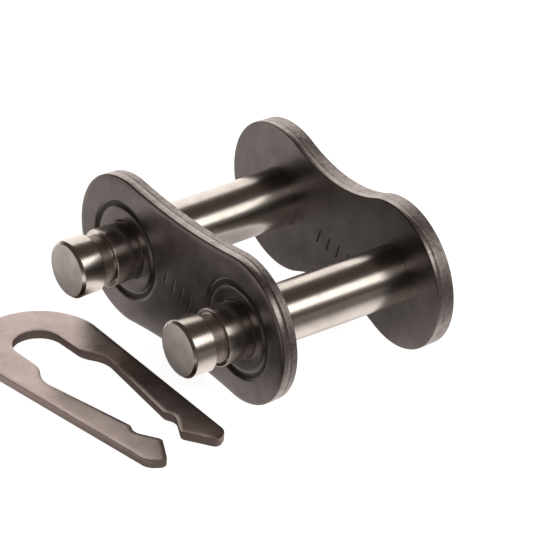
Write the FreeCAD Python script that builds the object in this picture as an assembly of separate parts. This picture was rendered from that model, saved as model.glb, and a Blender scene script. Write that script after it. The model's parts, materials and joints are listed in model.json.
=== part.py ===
"""Connecting link of a half-inch roller chain, with its spring clip laid beside it.

X runs along the chain from the left pin to the right pin, Y runs along the pins towards
the pin plate, Z is up. The origin is on the left pin's axis, at the pin plate's inner face.
The link stands on its plates' lower lobes and the clip lies flat on the same surface.
"""
import FreeCAD, Part
import math
import os

Vector = FreeCAD.Vector

# Chain sizes, mm
pitch = 12.7                    # between the pin axes
pin_diameter = 3.97
plate_height = 10.4             # over the round lobes of both plates
plate_gap = 11.2                # between the plates' inner faces, as the loose plate stands

# Plates
pin_plate_thickness = 1.3
pin_plate_hollow = 1.3          # how far each flank dips below the lobes, half way along
connecting_plate_thickness = 1.2
connecting_plate_hollow = 0.4
hole_clearance = 0.04           # radial, connecting plate on pin
plate_edge_round = 0.14         # rounding that stamping and tumbling leave
coined_ring_offset = 1.215      # pin's surface to the middle of the ring pressed round its hole
coined_ring_width = 0.5
coined_ring_depth = 0.18

# Pins
groove_stand_off = 1.9          # connecting plate's outer face to the groove's near wall
groove_width = 1.0
groove_depth = 0.335
tip_length = 1.75               # groove's far wall to the pin's end
tip_chamfer = 0.33
rivet_head_overhang = 0.315     # closed head behind the pin plate, past the pin's surface
rivet_head_height = 0.35

# Spring clip: u runs along its axis from the closed seat's centre, v to each side
clip_thickness = 0.65
clip_seat_clearance = 0.05      # radial, closed seat on the groove's floor
clip_bow_width = 2.7            # metal round the closed end
clip_seat_length = 2.45         # parallel sides of the closed seat
clip_seat_corner = 2.0
clip_throat_clearance = 0.61    # each side of a pin in the wide part of the slot
clip_throat_run = 1.5           # length over which the seat opens to the wide part
clip_throat_corner = 2.2
clip_catch_depth = 0.37         # each leg's catch stands this far inside the closed seat
clip_catch_lead = 0.65          # catch to the second pin's axis
clip_catch_corner = 0.7
clip_recess_lead = 0.1          # second pin's axis to the deepest point between catch and hook
clip_recess_clearance = 0.07    # radial, that point on the groove's floor
clip_recess_corner = 1.0
clip_hook_overlap = 0.93        # each hook's point stands this far inside the groove's floor
clip_hook_reach = 1.95          # second pin's axis to the hooks' points
clip_hook_corner = 0.5
clip_end_reach = 4.3            # second pin's axis to the clip's end
clip_end_flare = 0.4            # where the lead-in slopes end, outside the groove's floor
clip_end_corner = 0.45
clip_shoulder_width = 1.52      # metal outside the groove's floor, near the open end
clip_shoulder_inset = 0.7       # from the clip's end
clip_shoulder_corner = 1.1
clip_edge_round = 0.12
clip_distance = 2.75            # clip's closed end to the connecting plate's outer face, along Y
clip_shift = 0.3                # closed seat's centre past the left pin along X
clip_turn = 1.66                # degrees, about Z

pin_radius = pin_diameter / 2
groove_radius = pin_radius - groove_depth
lobe_radius = plate_height / 2
floor_height = -lobe_radius
connecting_inner_y = -plate_gap
connecting_outer_y = connecting_inner_y - connecting_plate_thickness
pin_places = {"left_pin": 0, "right_pin": pitch}


def plate_outline(hollow, y):
    """Two round lobes joined by two hollow flanks, tangent where they meet."""
    middle = pitch / 2
    waist = lobe_radius - hollow
    flank_radius = (middle ** 2 + waist ** 2 - lobe_radius ** 2) / (2 * hollow)
    flank_centre = waist + flank_radius
    reach = math.hypot(middle, flank_centre)
    meet_x = lobe_radius * middle / reach
    meet_z = lobe_radius * flank_centre / reach
    left_top = Vector(meet_x, y, meet_z)
    left_bottom = Vector(meet_x, y, -meet_z)
    right_top = Vector(pitch - meet_x, y, meet_z)
    right_bottom = Vector(pitch - meet_x, y, -meet_z)
    arcs = (
        (left_top, Vector(-lobe_radius, y, 0), left_bottom),
        (left_bottom, Vector(middle, y, -waist), right_bottom),
        (right_bottom, Vector(pitch + lobe_radius, y, 0), right_top),
        (right_top, Vector(middle, y, waist), left_top),
    )
    return Part.Wire([Part.Arc(*arc).toShape() for arc in arcs])


def stamping(outline, thickness, edge_round):
    """A blank cut along the outline, its edges rounded on both faces; thickness is a vector."""
    blank = Part.Face(outline).extrude(thickness)
    rim = [edge for edge in blank.Edges
           if abs(edge.tangentAt(edge.FirstParameter).dot(thickness)) < thickness.Length / 2]
    return blank.makeFillet(min(edge_round, thickness.Length / 3), rim)


def plate(hollow, low_y, high_y, hole_radius):
    """A stamped plate with a hole on each pin axis."""
    thickness = Vector(0, high_y - low_y, 0)
    solid = stamping(plate_outline(hollow, low_y), thickness, plate_edge_round)
    for x in pin_places.values():
        hole = Part.makeCylinder(hole_radius, thickness.y, Vector(x, low_y, 0), Vector(0, 1, 0))
        solid = solid.cut(hole)
    return solid


def pin_plate():
    return plate(pin_plate_hollow, 0, pin_plate_thickness, pin_radius)


def connecting_plate():
    solid = plate(connecting_plate_hollow, connecting_outer_y, connecting_inner_y,
                  pin_radius + hole_clearance)
    # The ring is an arc in section: its radius follows from its width and depth
    half_width = coined_ring_width / 2
    section_radius = (half_width ** 2 + coined_ring_depth ** 2) / (2 * coined_ring_depth)
    section_y = connecting_outer_y - (section_radius - coined_ring_depth)
    for x in pin_places.values():
        ring = Part.makeTorus(pin_radius + coined_ring_offset, section_radius,
                              Vector(x, section_y, 0), Vector(0, 1, 0))
        solid = solid.cut(ring)
    return solid


def pin(x):
    """Turned pin: rivet head, shank, clip groove and chamfered tip."""
    head_radius = pin_radius + rivet_head_overhang
    head_y = pin_plate_thickness + rivet_head_height
    groove_near = connecting_outer_y - groove_stand_off
    groove_far = groove_near - groove_width
    tip_y = groove_far - tip_length
    corners = (
        (0, head_y),
        (head_radius - rivet_head_height, head_y),
        (head_radius, pin_plate_thickness),
        (pin_radius, pin_plate_thickness),
        (pin_radius, groove_near),
        (groove_radius, groove_near),
        (groove_radius, groove_far),
        (pin_radius, groove_far),
        (pin_radius, tip_y + tip_chamfer),
        (pin_radius - tip_chamfer, tip_y),
        (0, tip_y),
        (0, head_y),
    )
    section = Part.makePolygon([Vector(x + radius, y, 0) for radius, y in corners])
    return Part.Face(section).revolve(Vector(x, 0, 0), Vector(0, 1, 0), 360)


def rounded_run(corners):
    """Straight and arc edges along corners of (u, v, radius), open at both ends."""
    points = [Vector(u, v, 0) for u, v, radius in corners]
    edges = []
    start = points[0]
    for before, at, after, corner in zip(points, points[1:], points[2:], corners[1:]):
        back = (before - at).normalize()
        ahead = (after - at).normalize()
        half_angle = back.getAngle(ahead) / 2
        tangent_length = corner[2] / math.tan(half_angle)
        bisector = (back + ahead).normalize()
        depth = corner[2] / math.sin(half_angle) - corner[2]
        arc_start = at + back * tangent_length
        arc_end = at + ahead * tangent_length
        edges.append(Part.LineSegment(start, arc_start).toShape())
        edges.append(Part.Arc(arc_start, at + bisector * depth, arc_end).toShape())
        start = arc_end
    edges.append(Part.LineSegment(start, points[-1]).toShape())
    return edges


def spring_clip():
    """Flat U of spring steel: closed seat, wide throat, catches, hooks and lead-in slopes."""
    seat_radius = groove_radius + clip_seat_clearance
    bow_radius = seat_radius + clip_bow_width
    end_u = pitch + clip_end_reach
    shoulder_u = end_u - clip_shoulder_inset
    shoulder_v = groove_radius + clip_shoulder_width
    # The outer edge of a leg runs from the shoulder, tangent to the bow about the seat
    shoulder_reach = math.hypot(shoulder_u, shoulder_v)
    lean = math.atan2(shoulder_v, shoulder_u) + math.acos(bow_radius / shoulder_reach)
    bow_u = bow_radius * math.cos(lean)
    bow_v = bow_radius * math.sin(lean)
    leg = (
        (0, seat_radius, 0),
        (clip_seat_length, seat_radius, clip_seat_corner),
        (clip_seat_length + clip_throat_run, pin_radius + clip_throat_clearance, clip_throat_corner),
        (pitch - clip_catch_lead, seat_radius - clip_catch_depth, clip_catch_corner),
        (pitch + clip_recess_lead, groove_radius + clip_recess_clearance, clip_recess_corner),
        (pitch + clip_hook_reach, groove_radius - clip_hook_overlap, clip_hook_corner),
        (end_u, groove_radius + clip_end_flare, clip_end_corner),
        (shoulder_u, shoulder_v, clip_shoulder_corner),
        (bow_u, bow_v, 0),
    )
    other_leg = tuple((u, -v, radius) for u, v, radius in leg)
    edges = rounded_run(leg) + rounded_run(other_leg)
    edges.append(Part.Arc(Vector(bow_u, bow_v, 0), Vector(-bow_radius, 0, 0),
                          Vector(bow_u, -bow_v, 0)).toShape())
    edges.append(Part.Arc(Vector(0, seat_radius, 0), Vector(-seat_radius, 0, 0),
                          Vector(0, -seat_radius, 0)).toShape())
    outline = Part.Wire(Part.__sortEdges__(edges))
    clip = stamping(outline, Vector(0, 0, clip_thickness), clip_edge_round)
    clip.rotate(Vector(0, 0, 0), Vector(0, 0, 1), clip_turn)
    clip.translate(Vector(clip_shift, connecting_outer_y - clip_distance - bow_radius, floor_height))
    return clip


nodes = {
    "pin_plate": pin_plate(),
    "connecting_plate": connecting_plate(),
    "spring_clip": spring_clip(),
}
for name, x in pin_places.items():
    nodes[name] = pin(x)

os.makedirs("parts", exist_ok=True)
for name, shape in nodes.items():
    shape.exportStep("parts/" + name + ".step")
    low, high = shape.BoundBox.getPoint(0), shape.BoundBox.getPoint(6)
    print(name, "valid" if shape.isValid() else "NOT VALID", "solids", len(shape.Solids),
          "volume", round(shape.Volume, 2),
          "from", [round(value, 2) for value in low], "to", [round(value, 2) for value in high])
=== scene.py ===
import json
import math
import bmesh
import bpy
from mathutils import Matrix, Vector, noise


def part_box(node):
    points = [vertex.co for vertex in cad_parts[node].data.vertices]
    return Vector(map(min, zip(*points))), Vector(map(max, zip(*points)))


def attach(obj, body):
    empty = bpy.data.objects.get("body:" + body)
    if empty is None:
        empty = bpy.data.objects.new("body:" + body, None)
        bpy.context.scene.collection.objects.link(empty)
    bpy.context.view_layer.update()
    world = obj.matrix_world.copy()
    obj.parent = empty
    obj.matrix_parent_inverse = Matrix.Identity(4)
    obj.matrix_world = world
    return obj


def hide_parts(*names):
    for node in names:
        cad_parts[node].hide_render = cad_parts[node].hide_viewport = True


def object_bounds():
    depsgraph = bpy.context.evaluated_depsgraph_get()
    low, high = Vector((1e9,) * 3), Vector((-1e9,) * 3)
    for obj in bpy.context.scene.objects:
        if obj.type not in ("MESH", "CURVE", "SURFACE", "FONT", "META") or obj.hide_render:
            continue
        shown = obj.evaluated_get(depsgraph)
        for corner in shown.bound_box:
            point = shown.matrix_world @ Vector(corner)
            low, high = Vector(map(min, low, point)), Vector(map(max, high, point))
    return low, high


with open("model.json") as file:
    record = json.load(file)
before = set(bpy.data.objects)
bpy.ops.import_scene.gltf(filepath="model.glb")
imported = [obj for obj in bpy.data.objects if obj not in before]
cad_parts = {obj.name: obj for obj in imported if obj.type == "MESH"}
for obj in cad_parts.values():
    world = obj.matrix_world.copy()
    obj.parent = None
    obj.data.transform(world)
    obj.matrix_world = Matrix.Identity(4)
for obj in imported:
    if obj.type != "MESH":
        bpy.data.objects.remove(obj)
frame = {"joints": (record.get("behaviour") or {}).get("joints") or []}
cad_low, cad_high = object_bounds()

# ---------------------------------------------------------------- Pin plate
# Rear side plate of the link: a figure-eight blank punched from 1.3 mm strip, tumbled and
# phosphated dark. Its faces are satin; the cut edge is rolled over on one side, bright where
# the punch burnished it and torn below. Both pins are pressed and riveted into it.
mm = 0.001
pin_places = [(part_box(name)[0].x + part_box(name)[1].x) / 2 for name in ("left_pin", "right_pin")]
pitch = pin_places[1] - pin_places[0]
pin_radius = 1.985 * mm
lobe_radius = 5.2 * mm
pin_plate_hollow = 1.3 * mm
pin_plate_thickness = 1.3 * mm  # its inner face is at y = 0
cut_spacing = 0.11 * mm         # between points round a cut edge
tear_depth = 0.018 * mm         # how far the torn part of a cut edge is uneven
tear_grain = 0.17 * mm
tear_step = 0.03 * mm           # small notch where the burnished band ends
tear_ledge = 0.012 * mm         # the torn band starts this far inside the outline
tear_taper = 0.035 * mm         # and leans inward by this much on the way down
tear_lead = 0.07 * mm           # burnished band to the torn band's first row
edge_break = 0.07 * mm          # rounding of the lower edge
flat_margin = 0.06 * mm         # flat strip beside each edge, so that wide faces shade flat
stroke_length = 1.15 * mm
stroke_width = 0.17 * mm
stroke_depth = 0.07 * mm
# The pressed floors' material is darkened with painted shade.
face, bare, recess = 0, 1, 2    # a stamping's materials: flat faces, cut edges, pressed floors


def arc(centre, radius, start, sweep):
    """Points along an arc with the directions that point out of the metal, which lies to the left."""
    count = max(6, math.ceil(abs(sweep) * radius / cut_spacing))
    side = math.copysign(1, sweep)
    points = []
    for step in range(count):
        angle = start + sweep * step / count
        out = Vector((math.cos(angle), math.sin(angle)))
        points.append((Vector(centre) + out * radius, out * side))
    return points


def straight(start, end):
    """Points along a straight cut, from its start to just before its end."""
    run = Vector(end) - Vector(start)
    count = max(1, math.ceil(run.length / (3 * cut_spacing)))
    out = Vector((run.y, -run.x)).normalized()
    return [(Vector(start) + run * step / count, out) for step in range(count)]


def plate_outline(hollow):
    """Two round lobes joined by two hollow flanks, tangent where they meet, anticlockwise."""
    middle = pitch / 2
    waist = lobe_radius - hollow
    flank_radius = (middle ** 2 + waist ** 2 - lobe_radius ** 2) / (2 * hollow)
    flank_centre = waist + flank_radius
    lean = math.atan2(flank_centre, middle)
    round_lobe = 2 * (math.pi - lean)
    across_flank = math.pi - 2 * lean
    left, right = pin_places
    return (arc((left, 0), lobe_radius, lean, round_lobe)
            + arc((left + middle, -flank_centre), flank_radius, math.pi - lean, -across_flank)
            + arc((right, 0), lobe_radius, math.pi + lean, round_lobe)
            + arc((left + middle, flank_centre), flank_radius, -lean, -across_flank))


def hole(x, radius):
    return arc((x, 0), radius, 0, -2 * math.pi)


def stroke(x, z, slant):
    """Outline of a plain pressed stroke with round ends, clockwise as holes are."""
    along = Vector((math.cos(slant), math.sin(slant))) * (stroke_length - stroke_width) / 2
    round_end = stroke_width / 2
    side = Vector((-along.y, along.x)).normalized() * round_end
    far = Vector((x, z)) + along
    near = Vector((x, z)) - along
    return (arc(far, round_end, slant + math.pi / 2, -math.pi) + straight(far - side, near - side)
            + arc(near, round_end, slant - math.pi / 2, -math.pi) + straight(near + side, far + side))


def cut_section(thickness, roll_width, roll_depth, burnish_end, bare_from):
    """Rows of (inset, depth, unevenness, material) down a sheared edge, from the rolled side."""
    rows = []
    for step in range(8):
        turn = math.pi / 2 * step / 7
        rows.append((roll_width * (1 - math.sin(turn)), roll_depth * (1 - math.cos(turn)), 0,
                     bare if step > bare_from else face))
    rows.append((0, (roll_depth + burnish_end) / 2, 0, bare))
    rows.append((0, burnish_end, 0.2, bare))
    rows.append((tear_step, burnish_end + tear_step, 0.5, bare))
    tear_start = burnish_end + tear_lead
    tear_end = thickness - edge_break
    for step in range(5):
        rows.append((tear_ledge + tear_taper * step / 4,
                     tear_start + (tear_end - tear_start) * step / 4, 1, bare))
    for step in range(1, 5):
        turn = math.pi / 2 * step / 4
        rows.append((tear_ledge + tear_taper + edge_break * (1 - math.cos(turn)),
                     tear_end + edge_break * math.sin(turn), 0, bare))
    return rows


def stamping(name, outline, section, openings, dents, place, materials):
    """A sheet blank: its outline and openings follow their edge sections, dents are pressed in.

    A section's rows are (inset, depth, unevenness, material). Place puts a drawn point in space.
    """
    blank = bmesh.new()
    uv = blank.loops.layers.uv.new("Edge")
    front_edges, back_edges = [], []

    def skin(path, rows):
        loops = []
        for inset, depth, uneven, _ in rows:
            loop = []
            for point, out in path:
                sample = Vector((point.x, point.y, depth)) / tear_grain
                drift = uneven * tear_depth * (1 + noise.noise(sample)) / 2 + inset
                at = point - out * drift
                loop.append(blank.verts.new(place(at.x, at.y, depth)))
            loops.append(loop)
        distances = [0]
        for here, after in zip(path, path[1:] + path[:1]):
            distances.append(distances[-1] + (after[0] - here[0]).length)
        count = len(path)
        for row in range(len(rows) - 1):
            upper, lower = loops[row], loops[row + 1]
            for i in range(count):
                j = (i + 1) % count
                quad = blank.faces.new((upper[i], upper[j], lower[j], lower[i]))
                quad.material_index = min(rows[row][3], rows[row + 1][3])
                corners = ((i, row), (i + 1, row), (i + 1, row + 1), (i, row + 1))
                for corner, (step, at_row) in zip(quad.loops, corners):
                    corner[uv].uv = (distances[step] / mm, rows[at_row][1] / mm)
        return loops[0], loops[-1]

    def edges_of(loop):
        return [blank.edges.get((here, after)) for here, after in zip(loop, loop[1:] + loop[:1])]

    def flat_beside(row):
        return (row[0] + flat_margin, row[1], 0, row[3])

    for path, rows in [(outline, section)] + openings:
        first, last = skin(path, [flat_beside(rows[0])] + rows + [flat_beside(rows[-1])])
        front_edges += edges_of(first)
        back_edges += edges_of(last)
    for path, rows in dents:
        first, last = skin(path, [flat_beside(rows[0])] + rows)
        front_edges += edges_of(first)
        blank.faces.new(last).material_index = rows[-1][3]
    for edges in (front_edges, back_edges):
        bmesh.ops.triangle_fill(blank, use_beauty=True, use_dissolve=False, edges=edges)
    bmesh.ops.recalc_face_normals(blank, faces=blank.faces)
    mesh = bpy.data.meshes.new(name)
    blank.to_mesh(mesh)
    blank.free()
    for material in materials:
        mesh.materials.append(material)
    mesh.shade_smooth()
    piece = bpy.data.objects.new(name, mesh)
    bpy.context.scene.collection.objects.link(piece)
    return settled(piece)


def settled(piece):
    """The piece as one plain mesh, shaded so that large faces stay flat up to their roundings."""
    weighting = piece.modifiers.new("Even shading", "WEIGHTED_NORMAL")
    weighting.weight = 100
    evaluated = piece.evaluated_get(bpy.context.evaluated_depsgraph_get())
    mesh = bpy.data.meshes.new_from_object(evaluated)
    mesh.name = piece.name
    piece.modifiers.clear()
    piece.data = mesh
    return piece


class Signal:
    """A socket whose sums are written in Python and become Math nodes."""

    def __init__(self, tree, socket):
        self.tree = tree
        self.socket = socket

    def sum(self, operation, first, second):
        return self.tree.node("ShaderNodeMath", {"operation": operation}, {0: first, 1: second})

    def __add__(self, other):
        return self.sum("ADD", self, other)

    def __sub__(self, other):
        return self.sum("SUBTRACT", self, other)

    def __rsub__(self, other):
        return self.sum("SUBTRACT", other, self)

    def __mul__(self, other):
        return self.sum("MULTIPLY", self, other)

    def __lt__(self, other):
        return self.sum("LESS_THAN", self, other)

    def __gt__(self, other):
        return self.sum("GREATER_THAN", self, other)

    __radd__ = __add__
    __rmul__ = __mul__


class Nodes:
    """A node tree. A node's settings go in first, then the values or links of its sockets."""

    def __init__(self, tree):
        self.tree = tree

    def node(self, kind, settings, sockets, output=0):
        made = self.tree.nodes.new(kind)
        for name, value in settings.items():
            if name == "stops":
                for stop in range(2, len(value)):
                    made.color_ramp.elements.new(value[stop][0])
                for element, (place, shade) in zip(made.color_ramp.elements, value):
                    element.position = place
                    element.color = (shade, shade, shade, 1)
            elif name == "choices":
                for choice in range(2, value):
                    made.index_switch_items.new()
            else:
                setattr(made, name, value)
        for name, value in sockets.items():
            self.feed(made.inputs[name], value)
        return Signal(self, made.outputs[output])

    def feed(self, socket, value):
        if isinstance(value, Signal):
            self.tree.links.new(value.socket, socket)
        else:
            socket.default_value = value


class Finish(Nodes):
    """A material. Its patterns are in millimetres on the piece."""

    def __init__(self, name, metallic):
        self.material = bpy.data.materials.new(name)
        self.material.use_nodes = True
        super().__init__(self.material.node_tree)
        self.shader = self.tree.nodes["Principled BSDF"]
        self.shader.inputs["Metallic"].default_value = metallic
        place = self.node("ShaderNodeTexCoord", {}, {}, "Object")
        self.place = self.stretched(place, (1 / mm, 1 / mm, 1 / mm))

    def stretched(self, place, scale):
        return self.node("ShaderNodeMapping", {}, {"Vector": place, "Scale": scale})

    def noise(self, place, scale, detail=2, roughness=0.5):
        return self.node("ShaderNodeTexNoise", {}, {
            "Vector": place, "Scale": scale, "Detail": detail, "Roughness": roughness})

    def ramp(self, value, *stops):
        return self.node("ShaderNodeValToRGB", {"stops": stops}, {"Fac": value})

    def blend(self, factor, first, second):
        ends = [(*end, 1) if isinstance(end, tuple) else end for end in (first, second)]
        return self.node("ShaderNodeMix", {"data_type": "RGBA"}, {
            "Factor": factor, 6: ends[0], 7: ends[1]}, 2)

    def set(self, name, value):
        self.feed(self.shader.inputs[name], value)

    def bump(self, height, depth):
        return self.node("ShaderNodeBump", {}, {"Height": height, "Distance": depth, "Strength": 1})


def phosphated_steel():
    """Dark satin phosphate: fine crystal grain, cloudy patches, a few handling scratches."""
    finish = Finish("Phosphated steel", 1)
    clouds = finish.noise(finish.place, 0.45, 4, 0.6)
    grain = finish.noise(finish.place, 22, 3, 0.7)
    rub = finish.noise(finish.stretched(finish.place, (0.7, 1, 9)), 1.1, 3, 0.6)
    scratches = finish.ramp(rub, (0.62, 0), (0.72, 1))
    tone = finish.ramp(clouds * 0.55 + grain * 0.45, (0.36, 0), (0.64, 1))
    dark = finish.blend(tone, (0.076, 0.063, 0.058), (0.158, 0.138, 0.131))
    finish.set("Base Color", finish.blend(scratches * 0.15, dark, (0.19, 0.17, 0.16)))
    finish.set("Roughness", 0.25 + clouds * 0.10 + grain * 0.10 - scratches * 0.04)
    finish.set("Normal", finish.bump(grain * 0.8 + clouds * 0.8 - scratches * 0.2, 0.007 * mm))
    return finish.material


def sheared_steel(name, tear_start, line_strength):
    """Bare cut edge: burnished band with drag lines, a faint tear line, a mottled torn band."""
    finish = Finish(name, 1)
    edge = finish.node("ShaderNodeUVMap", {"uv_map": "Edge"}, {})
    drag = finish.noise(finish.stretched(edge, (1, 0.12, 1)), 6, 4, 0.65)
    mottle = finish.noise(edge, 2.6, 5, 0.7)
    patches = finish.noise(edge, 0.6, 3, 0.6)
    depth = finish.node("ShaderNodeSeparateXYZ", {}, {0: edge}, 1)
    wander = depth - tear_start / mm + (finish.noise(edge, 1.3, 3) - 0.5) * 0.2 + 0.5
    torn = finish.ramp(wander, (0.42, 0), (0.56, 1))
    line = finish.ramp(wander, (0.44, 0), (0.5, 1), (0.54, 1), (0.62, 0))
    burnished = finish.blend(finish.ramp(drag * 0.6 + patches * 0.4, (0.35, 0), (0.7, 1)),
                             (0.26, 0.232, 0.22), (0.58, 0.52, 0.49))
    rough = finish.blend(finish.ramp(mottle * 0.7 + patches * 0.3, (0.38, 0), (0.66, 1)),
                         (0.26, 0.23, 0.218), (0.62, 0.565, 0.54))
    bare = finish.blend(torn, burnished, rough)
    finish.set("Base Color", finish.blend(line * line_strength, bare, (0.05, 0.042, 0.038)))
    finish.set("Roughness", 0.26 + torn * 0.12 + mottle * 0.16)
    finish.set("Normal", finish.bump(drag * 0.6 + torn * mottle * 2.0 - line * 0.5, 0.014 * mm))
    return finish.material


def pressed_steel():
    """Floor of a pressed ring or stroke: the same phosphate, never rubbed, its darker colour painted
    shade in the recess.
    """
    finish = Finish("Pressed recess steel with painted shade", 1)
    grain = finish.noise(finish.place, 14, 3, 0.7)
    # Darker than the faces: painted shade in the recess.
    finish.set("Base Color", finish.blend(grain, (0.045, 0.037, 0.033), (0.10, 0.085, 0.078)))
    finish.set("Roughness", 0.48 + grain * 0.2)
    finish.set("Normal", finish.bump(grain, 0.01 * mm))
    return finish.material


plate_finish = phosphated_steel()
recess_painted_shade_finish = pressed_steel()


def upright(front):
    """Puts a drawing of x and z at a depth behind a face that looks along -Y."""
    return lambda x, z, depth: Vector((x, front + depth, z))


def plain_hole(thickness):
    """Rows through a reamed hole with a slight break at both rims."""
    rim_break = 0.02 * mm
    corner = 0.006 * mm
    return [(rim_break, 0, 0, face), (corner, corner, 0, face), (0, rim_break, 0, bare),
            (0, thickness - rim_break, 0, bare), (corner, thickness - corner, 0, face),
            (rim_break, thickness, 0, face)]


def pressed_stroke(depth, material):
    """Rows that slope inward to the stroke's floor: a negative inset is over the stroke."""
    slope = 0.03 * mm
    floor_inset = 0.05 * mm
    return [(slope, 0, 0, face), (0, depth * 0.2, 0, material), (-slope, depth * 0.8, 0, material),
            (-floor_inset, depth, 0, material)]


def stroke_row(count, first_x, first_z, run, drop, slant):
    """Outlines of a short row of like strokes; each stands a run on and a drop below the last."""
    return [stroke(first_x + step * run, first_z - step * drop, slant) for step in range(count)]


# The stroke floors take the recess material, darkened with painted shade.
batch_strokes = [(outline, pressed_stroke(stroke_depth, recess)) for outline in stroke_row(
    5, pitch * 0.36, -0.9 * mm, 1.05 * mm, 0.12 * mm, math.radians(68))]
pin_plate = stamping("pin_plate_stamping", plate_outline(pin_plate_hollow),
                     cut_section(pin_plate_thickness, roll_width=0.1 * mm, roll_depth=0.08 * mm,
                                 burnish_end=0.4 * mm, bare_from=3),
                     [(hole(x, pin_radius), plain_hole(pin_plate_thickness)) for x in pin_places],
                     batch_strokes, upright(0),
                     (plate_finish, sheared_steel("Torn edge steel", 0.34 * mm, 0), recess_painted_shade_finish))
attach(pin_plate, "pin_link")
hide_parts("pin_plate")

# ---------------------------------------------------------------- Connecting plate
# Loose front plate, 1.2 mm thick and less waisted, a sliding fit on the pins. Round each hole a ring is
# coined into its outer face, which leaves a slightly dished, lighter land inside; the middle of the
# ring's floor is darkened with painted shade.
connecting_front, connecting_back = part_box("connecting_plate")[0].y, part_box("connecting_plate")[1].y
connecting_hollow = 0.4 * mm
connecting_thickness = connecting_back - connecting_front
connecting_hole_radius = 2.025 * mm
ring_outer = 1.54 * mm          # from the hole's wall
ring_inner = 0.86 * mm
ring_depth = 0.18 * mm
burnish_end = 0.62 * mm         # depth of the bright band down its cut edge


def coined_hole(thickness):
    """Rows from the flat face over the coined ring and the dished land, then through the hole."""
    rows = []
    for step in range(15):
        across = step / 14
        # The middle of the ring's floor takes the recess material, darkened with painted shade.
        rows.append((ring_outer + (ring_inner - ring_outer) * across,
                     0.02 * mm * across + ring_depth * math.sin(math.pi * across) ** 2, 0,
                     recess if 0.27 < across < 0.73 else face))
    dished_land = ((ring_inner - 0.06 * mm, 0.012 * mm), (0.62 * mm, 0.022 * mm),
                   (0.34 * mm, 0.04 * mm), (0.11 * mm, 0.055 * mm))
    hole_wall = ((0.03 * mm, 0.075 * mm), (0, 0.12 * mm), (0, thickness - 0.05 * mm))
    rows += [(inset, depth, 0, face) for inset, depth in dished_land]
    rows += [(inset, depth, 0, bare) for inset, depth in hole_wall]
    return rows + [(0.05 * mm, thickness, 0, face)]


faint_strokes = [(outline, pressed_stroke(0.013 * mm, face)) for outline in stroke_row(
    4, pitch * 0.37, 0.1 * mm, 0.9 * mm, 0.2 * mm, math.radians(75))]
connecting_plate = stamping("connecting_plate_stamping", plate_outline(connecting_hollow),
                            cut_section(connecting_thickness, roll_width=0.42 * mm,
                                        roll_depth=0.13 * mm, burnish_end=burnish_end, bare_from=5),
                            [(hole(x, connecting_hole_radius), coined_hole(connecting_thickness))
                             for x in pin_places],
                            faint_strokes, upright(connecting_front),
                            (plate_finish, sheared_steel("Burnished edge steel", burnish_end, 0.45),
                             recess_painted_shade_finish))
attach(connecting_plate, "connecting_plate")
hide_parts("connecting_plate")

# ---------------------------------------------------------------- Pins
# Two hardened pins, 3.97 mm, turned and ground: a chamfered tip with a matte cropped end, the
# groove for the clip, a long polished journal, and a head spun over behind the pin plate.
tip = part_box("left_pin")[0].y
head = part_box("left_pin")[1].y
pin_sizes = {
    "Shank radius": pin_radius,
    "Tip": tip,
    "Chamfer": 0.2 * mm,
    "Groove far wall": tip + 1.75 * mm,
    "Groove near wall": tip + 2.75 * mm,
    "Groove radius": 1.65 * mm,
    "Plate back": pin_plate_thickness,
    "Head radius": 2.3 * mm,
    "Head top": head,
    "Head dimple": 0.08 * mm,
    "Edge rounding": 0.05 * mm,
}
steps_round_pin = 160
steps_round_corner = 7
weld_distance = 0.0005 * mm     # closes the seam and the two ends


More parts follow.
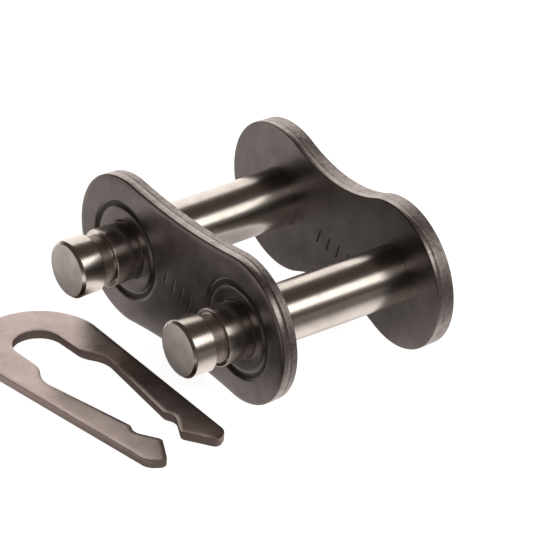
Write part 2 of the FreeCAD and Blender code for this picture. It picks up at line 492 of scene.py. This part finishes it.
def pin_tree(shank_material, end_material, groove_material):
    """Turns a filleted section round the Y axis and gives its parts their materials."""
    group = bpy.data.node_groups.new("Turned pin", "GeometryNodeTree")
    group.interface.new_socket("Geometry", in_out="OUTPUT", socket_type="NodeSocketGeometry")
    for name in pin_sizes:
        group.interface.new_socket(name, in_out="INPUT", socket_type="NodeSocketFloat")
    lathe = Nodes(group)
    sizes = group.nodes.new("NodeGroupInput")
    size = {name: Signal(lathe, sizes.outputs[name]) for name in pin_sizes}
    rounding = size["Edge rounding"]
    shank, groove, head_radius = size["Shank radius"], size["Groove radius"], size["Head radius"]
    dimple_floor = size["Head top"] - size["Head dimple"]
    corners = (
        (0, size["Tip"], 0),
        (shank - size["Chamfer"], size["Tip"], rounding),
        (shank, size["Tip"] + size["Chamfer"], rounding * 1.6),
        (shank, size["Groove far wall"], rounding),
        (groove, size["Groove far wall"], rounding),
        (groove, size["Groove near wall"], rounding),
        (shank, size["Groove near wall"], rounding),
        (shank, size["Plate back"], rounding * 0.5),
        (head_radius, size["Plate back"], rounding),
        (head_radius * 0.86, size["Head top"], rounding * 5),
        (head_radius * 0.38, size["Head top"], rounding * 4),
        (head_radius * 0.2, dimple_floor, rounding * 4),
        (0, dimple_floor, 0),
    )
    index = lathe.node("GeometryNodeInputIndex", {}, {})

    def by_corner(values):
        sockets = {"Index": index}
        sockets.update({str(choice): value for choice, value in enumerate(values)})
        return lathe.node("GeometryNodeIndexSwitch", {
            "data_type": "FLOAT", "choices": len(values)}, sockets)

    line = lathe.node("GeometryNodeMeshLine", {}, {"Count": len(corners)})
    section = lathe.node("GeometryNodeMeshToCurve", {}, {"Mesh": line})
    place = lathe.node("ShaderNodeCombineXYZ", {}, {
        0: by_corner([corner[0] for corner in corners]) - shank,
        1: by_corner([corner[1] for corner in corners])})
    section = lathe.node("GeometryNodeSetPosition", {}, {"Geometry": section, "Position": place})
    section = lathe.node("GeometryNodeFilletCurve", {"mode": "POLY"}, {
        "Curve": section, "Count": steps_round_corner, "Limit Radius": True,
        "Radius": by_corner([corner[2] for corner in corners])})
    circle = lathe.node("GeometryNodeCurvePrimitiveCircle", {}, {
        "Resolution": steps_round_pin, "Radius": shank})
    skin = lathe.node("GeometryNodeCurveToMesh", {}, {"Curve": circle, "Profile Curve": section})
    skin = lathe.node("GeometryNodeMergeByDistance", {}, {"Geometry": skin, "Distance": weld_distance})
    skin = lathe.node("GeometryNodeTransform", {}, {"Geometry": skin, "Rotation": (math.pi / 2, 0, 0)})
    skin = lathe.node("GeometryNodeSetMaterial", {}, {"Geometry": skin, "Material": shank_material})
    position = lathe.node("GeometryNodeInputPosition", {}, {})
    along = lathe.node("ShaderNodeSeparateXYZ", {}, {0: position}, 1)
    ends = (along < size["Tip"] + 0.01 * mm) + (along > size["Plate back"] + 0.02 * mm)
    skin = lathe.node("GeometryNodeSetMaterial", {}, {
        "Geometry": skin, "Selection": ends, "Material": end_material})
    margin = rounding * 0.6
    # Between its rounded walls the groove takes the material darkened with painted shade.
    turned = (along > size["Groove far wall"] + margin) * (along < size["Groove near wall"] - margin)
    skin = lathe.node("GeometryNodeSetMaterial", {}, {
        "Geometry": skin, "Selection": turned, "Material": groove_material})
    skin = lathe.node("GeometryNodeSetShadeSmooth", {}, {"Geometry": skin})
    skin = lathe.node("GeometryNodeRealizeInstances", {}, {"Geometry": skin})
    output = group.nodes.new("NodeGroupOutput")
    lathe.feed(output.inputs["Geometry"], skin)
    return group


def ground_steel():
    """Polished shank: fine grinding lines round the pin, faint warm tint, a few dull patches."""
    finish = Finish("Ground pin steel", 1)
    lines = finish.noise(finish.stretched(finish.place, (0.25, 14, 0.25)), 3, 2, 0.6)
    patches = finish.noise(finish.place, 0.6, 3, 0.55)
    finish.set("Base Color", finish.blend(finish.ramp(patches, (0.35, 0), (0.75, 1)),
                                          (0.72, 0.67, 0.62), (0.60, 0.55, 0.50)))
    finish.set("Roughness", 0.15 + lines * 0.08 + patches * 0.1)
    finish.set("Normal", finish.bump(lines, 0.0009 * mm))
    return finish.material


def cropped_steel():
    """Matte ends: fine pitted grain with soft stains."""
    finish = Finish("Matte pin end steel", 1)
    grain = finish.noise(finish.place, 13, 4, 0.75)
    stains = finish.noise(finish.place, 1.1, 4, 0.6)
    finish.set("Base Color", finish.blend(finish.ramp(stains, (0.3, 0), (0.75, 1)),
                                          (0.44, 0.405, 0.38), (0.62, 0.575, 0.55)))
    finish.set("Roughness", 0.42 + grain * 0.16)
    finish.set("Normal", finish.bump(grain, 0.008 * mm))
    return finish.material


def turned_steel():
    """Clip groove: duller than the shank, with coarse turning marks; its darker colour is painted shade
    in the groove.
    """
    finish = Finish("Turned groove steel with painted shade", 1)
    marks = finish.noise(finish.stretched(finish.place, (0.3, 9, 0.3)), 2, 2, 0.6)
    film = finish.noise(finish.place, 1.2, 3, 0.6)
    # Darker than the shank: painted shade in the groove.
    finish.set("Base Color", finish.blend(finish.ramp(film, (0.35, 0), (0.7, 1)),
                                          (0.40, 0.345, 0.31), (0.26, 0.215, 0.19)))
    finish.set("Roughness", 0.36 + marks * 0.14)
    finish.set("Normal", finish.bump(marks, 0.003 * mm))
    return finish.material


pin_group = pin_tree(ground_steel(), cropped_steel(), turned_steel())
for node, x in zip(("left_pin", "right_pin"), pin_places):
    pin = bpy.data.objects.new(node + "_turned", bpy.data.meshes.new(node))
    bpy.context.scene.collection.objects.link(pin)
    turning = pin.modifiers.new("Turning", "NODES")
    turning.node_group = pin_group
    for item in pin_group.interface.items_tree:
        if item.in_out == "INPUT":
            turning[item.identifier] = pin_sizes[item.name]
    settled(pin)
    pin.data.transform(Matrix.Translation((x, 0, 0)))
    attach(pin, "pin_link")
    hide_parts(node)

# ---------------------------------------------------------------- Spring clip
# Flat U stamped from 0.65 mm spring strip, hardened and tempered brown-grey: a closed seat, a
# wide throat, a catch and a hook on each leg, and slopes that lead the second pin in.
clip_low, clip_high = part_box("spring_clip")
clip_thickness = clip_high.z - clip_low.z
seat_radius = 1.70 * mm
bow_radius = 4.40 * mm
clip_distance = 2.75 * mm
clip_axis = -Vector(next(joint["axis"] for joint in frame["joints"] if joint["name"] == "clip_slide"))
clip_side = Vector((-clip_axis.y, clip_axis.x, 0))
clip_seat = Vector((clip_low.x + bow_radius, connecting_front - clip_distance - bow_radius, clip_high.z))
seat_length = 2.45 * mm         # closed end's parallel part
seat_corner = 2.0 * mm
throat_start = 3.95 * mm
throat_width = pin_radius + 0.61 * mm
throat_corner = 2.2 * mm
catch_reach = pitch - 0.65 * mm
catch_width = seat_radius - 0.37 * mm
catch_corner = 0.7 * mm
recess_reach = pitch + 0.1 * mm
recess_width = seat_radius + 0.02 * mm
recess_corner = 1.0 * mm
hook_reach = pitch + 1.95 * mm
hook_width = 0.72 * mm
hook_corner = 0.5 * mm
end_reach = pitch + 4.3 * mm
end_width = 2.05 * mm
end_corner = 0.45 * mm
shoulder = Vector((end_reach - 0.7 * mm, 3.17 * mm))
shoulder_corner = 1.1 * mm


def rounded_run(corners):
    """Points along a run of corners given as (u, v, radius), rounded at all but its two ends."""
    spots = [Vector(corner[:2]) for corner in corners]
    points = []
    start = spots[0]
    for before, at, after, corner in zip(spots, spots[1:], spots[2:], corners[1:]):
        back = (before - at).normalized()
        ahead = (after - at).normalized()
        turn = (-back).angle_signed(ahead)
        half_angle = (math.pi - abs(turn)) / 2
        tangent = corner[2] / math.tan(half_angle)
        side = -math.copysign(1, turn)
        centre = at + back * tangent + Vector((back.y, -back.x)) * side * corner[2]
        first = at + back * tangent - centre
        points += straight(start, at + back * tangent)
        points += arc(centre, corner[2], math.atan2(first.y, first.x), -turn)
        start = at + ahead * tangent
    return points + straight(start, spots[-1])


def clip_outline():
    """Anticlockwise: round the bow, down one leg's outside, back inside, and the other leg.

    Widths are counted from the clip's middle line to one side.
    """
    lean = math.atan2(shoulder.y, shoulder.x) + math.acos(bow_radius / shoulder.length)
    bow_end = Vector((math.cos(lean), math.sin(lean))) * bow_radius
    inner = [
        (0, seat_radius, 0),
        (seat_length, seat_radius, seat_corner),
        (throat_start, throat_width, throat_corner),
        (catch_reach, catch_width, catch_corner),
        (recess_reach, recess_width, recess_corner),
        (hook_reach, hook_width, hook_corner),
        (end_reach, end_width, end_corner),
        (shoulder.x, shoulder.y, shoulder_corner),
        (bow_end.x, bow_end.y, 0),
    ]
    lower = [(u, -v, radius) for u, v, radius in inner]
    return (arc((0, 0), bow_radius, lean, 2 * (math.pi - lean)) + rounded_run(lower[::-1])
            + arc((0, 0), seat_radius, -math.pi / 2, -math.pi) + rounded_run(inner))


def flat_on_floor(u, v, depth):
    """Puts a drawing of the clip, seen from above, in its place on the table."""
    at = clip_seat + clip_axis * u + clip_side * v
    return Vector((at.x, at.y, clip_seat.z - depth))


def clip_section():
    """Rows down the clip's edge: a shallow roll to a close corner, a wall, a short tear."""
    roll_width, roll_depth = 0.3 * mm, 0.03 * mm
    top_round, bottom_round = 0.05 * mm, 0.1 * mm
    torn_inset = 0.015 * mm
    rows = []
    for step in range(5):
        reach = step / 5
        rows.append((top_round + roll_width * (1 - reach), roll_depth * reach ** 2, 0, face))
    for step in range(5):
        turn = math.pi / 2 * step / 4
        rows.append((top_round * (1 - math.sin(turn)),
                     roll_depth + top_round * (1 - math.cos(turn)), 0, bare if step > 1 else face))
    rows.append((0, 0.3 * mm, 0, bare))
    rows.append((0.008 * mm, 0.36 * mm, 0.5, bare))
    rows.append((0.012 * mm, 0.45 * mm, 0.7, bare))
    for step in range(5):
        turn = math.pi / 2 * step / 4
        rows.append((torn_inset + bottom_round * (1 - math.cos(turn)),
                     clip_thickness - bottom_round * (1 - math.sin(turn)), 0, bare))
    return rows


def tempered_steel():
    """Brown-grey temper colour with a fine lengthwise grain, rubbed lighter in streaks."""
    finish = Finish("Tempered spring steel", 0.9)
    grain = finish.noise(finish.stretched(finish.place, (0.5, 5, 5)), 5, 4, 0.7)
    clouds = finish.noise(finish.place, 0.5, 4, 0.6)
    speckle = finish.noise(finish.place, 16, 3, 0.7)
    tone = grain * 0.35 + clouds * 0.4 + speckle * 0.25
    finish.set("Base Color", finish.blend(finish.ramp(tone, (0.38, 0), (0.62, 1)),
                                          (0.35, 0.285, 0.262), (0.58, 0.495, 0.465)))
    finish.set("Roughness", 0.20 + clouds * 0.1 + speckle * 0.08)
    finish.set("Normal", finish.bump(grain * 0.6 + speckle * 0.5, 0.006 * mm))
    return finish.material


def tempered_edge():
    """The clip's cut edge: the same temper colour, darker and rougher."""
    finish = Finish("Tempered cut edge", 0.6)
    edge = finish.node("ShaderNodeUVMap", {"uv_map": "Edge"}, {})
    drag = finish.noise(finish.stretched(edge, (1, 0.15, 1)), 8, 4, 0.65)
    mottle = finish.noise(edge, 2.6, 4, 0.65)
    finish.set("Base Color", finish.blend(drag * 0.5 + mottle * 0.5,
                                          (0.18, 0.125, 0.112), (0.42, 0.33, 0.30)))
    finish.set("Roughness", 0.36 + mottle * 0.2)
    finish.set("Normal", finish.bump(drag + mottle, 0.007 * mm))
    return finish.material


clip = stamping("flat_spring_clip", clip_outline(), clip_section(), [], [], flat_on_floor,
                (tempered_steel(), tempered_edge()))
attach(clip, "spring_clip")
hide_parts("spring_clip")

# ---------------------------------------------------------------- Table, light and camera
# The link stands on a plain white table top, lit evenly. A large soft panel stands behind it
# to the left, a smaller one behind it to the right, and a small one over the camera's side.
table_reach = 0.6               # from its middle to each edge


def table(name, drop, finish):
    """A large flat sheet, a drop below the part's lowest point."""
    shape = bmesh.new()
    bmesh.ops.create_grid(shape, x_segments=1, y_segments=1, size=table_reach,
                          matrix=Matrix.Translation((pitch / 2, -10 * mm, cad_low.z - drop)))
    mesh = bpy.data.meshes.new(name)
    shape.to_mesh(mesh)
    shape.free()
    mesh.materials.append(finish.material)
    sheet = bpy.data.objects.new(name, mesh)
    bpy.context.scene.collection.objects.link(sheet)
    return sheet


white_top = Finish("White table top", 0)
white_top.set("Base Color", (0.9, 0.9, 0.9, 1))
white_top.set("Roughness", 0.9)
white_top.set("Emission Color", (1, 1, 1, 1))
white_top.set("Emission Strength", 0.88)
table("table_top", 0.01 * mm, white_top).visible_glossy = False

# Bright metal mirrors a second, glowing sheet instead, which only reflections see: a painted reflection
# of the table. Its glow is painted light that dims past the right pin. It carries painted shade before
# the cover plate and, more lightly, painted shade under the link, where the part's shadows would fall on
# a real table.
painted_reflection = Finish("Painted reflection of the table with painted shade", 0)
across = painted_reflection.node("ShaderNodeSeparateXYZ", {}, {0: painted_reflection.place}, 0)
along = painted_reflection.node("ShaderNodeSeparateXYZ", {}, {0: painted_reflection.place}, 1)


def fade(value, start, end):
    """Runs smoothly from 0 at the start to 1 at the end, both in millimetres."""
    return painted_reflection.node("ShaderNodeMapRange", {"interpolation_type": "SMOOTHSTEP"}, {
        "Value": value, "From Min": start, "From Max": end, "To Min": 0, "To Max": 1})


# Painted light: the sheet glows fully on the left and dims past the right pin.
lit = 1 - fade(across, 14, 25) * 0.9
# Painted shade on the sheet before the cover plate, round the clip.
painted_shade_by_clip = (fade(across - along * 1.16, 13.5, 17.5) * fade(along, -25, -22)
           * (1 - fade(along + across * 0.15, -14.5, -12.9)))
# Painted shade on the sheet under the link, applied at 0.6 below.
painted_shade_under_link = (fade(across, -9, -3) * (1 - fade(across, 10, 15)) * fade(along, -12.5, -11.5)
           * (1 - fade(along, -2, 3)))
painted_reflection.set("Base Color", (0, 0, 0, 1))
# The glow runs from a near-black painted shade to a warm painted light.
painted_reflection.set("Emission Color", painted_reflection.blend(lit * (1 - painted_shade_by_clip) * (1 - painted_shade_under_link * 0.6),
                                        (0.012, 0.006, 0.004), (1.15, 1.09, 1.06)))
painted_reflection.set("Emission Strength", 1)
painted_reflection_table = table("table_painted_reflection", 0.02 * mm, painted_reflection)
painted_reflection_table.visible_camera = False
painted_reflection_table.visible_diffuse = False
painted_reflection_table.visible_shadow = False

subject = (cad_low + cad_high) / 2


def soft_panel(name, azimuth, elevation, distance, width, height, radiance, tint):
    """A soft box that faces the part; its angles are degrees from +X towards +Y, and upwards."""
    lamp = bpy.data.lights.new(name, "AREA")
    lamp.shape = "RECTANGLE"
    lamp.size = width
    lamp.size_y = height
    lamp.energy = radiance * math.pi * width * height
    lamp.color = tint
    panel = bpy.data.objects.new(name, lamp)
    bpy.context.scene.collection.objects.link(panel)
    turn = math.radians(azimuth)
    rise = math.radians(elevation)
    back = Vector((math.cos(turn) * math.cos(rise), math.sin(turn) * math.cos(rise), math.sin(rise)))
    panel.location = subject + back * distance
    panel.rotation_euler = back.to_track_quat("Z", "Y").to_euler()


soft_panel("left_rear_panel", 154, 22, 0.5, 0.70, 0.48, 1.22, (1.0, 0.96, 0.93))
soft_panel("right_rear_strip", 25, 34, 0.5, 0.32, 0.22, 2.1, (1.0, 0.97, 0.94))
soft_panel("camera_side_panel", -34, 38, 0.8, 0.24, 0.30, 3.0, (1.0, 0.98, 0.96))

world = bpy.data.worlds.new("Dim room")
world.use_nodes = True
background = world.node_tree.nodes["Background"]
background.inputs["Color"].default_value = (0.065, 0.05, 0.043, 1)
bpy.context.scene.world = world
bpy.context.scene.view_settings.view_transform = "Standard"

lens = bpy.data.cameras.new("view")
lens.lens = 622.4               # a very long lens, mm, from 0.62 m away: nearly parallel view
lens.sensor_width = 36
camera = bpy.data.objects.new("view", lens)
bpy.context.scene.collection.objects.link(camera)
camera_turn = math.radians(54.55)
camera_rise = math.radians(29.81)
camera_distance = 0.6224
aim = Vector((7.848, -5.894, -0.384)) * mm
towards = Vector((math.sin(camera_turn) * math.cos(camera_rise),
                  -math.cos(camera_turn) * math.cos(camera_rise), math.sin(camera_rise)))
camera.location = aim + towards * camera_distance
camera.rotation_euler = towards.to_track_quat("Z", "Y").to_euler()
bpy.context.scene.camera = camera
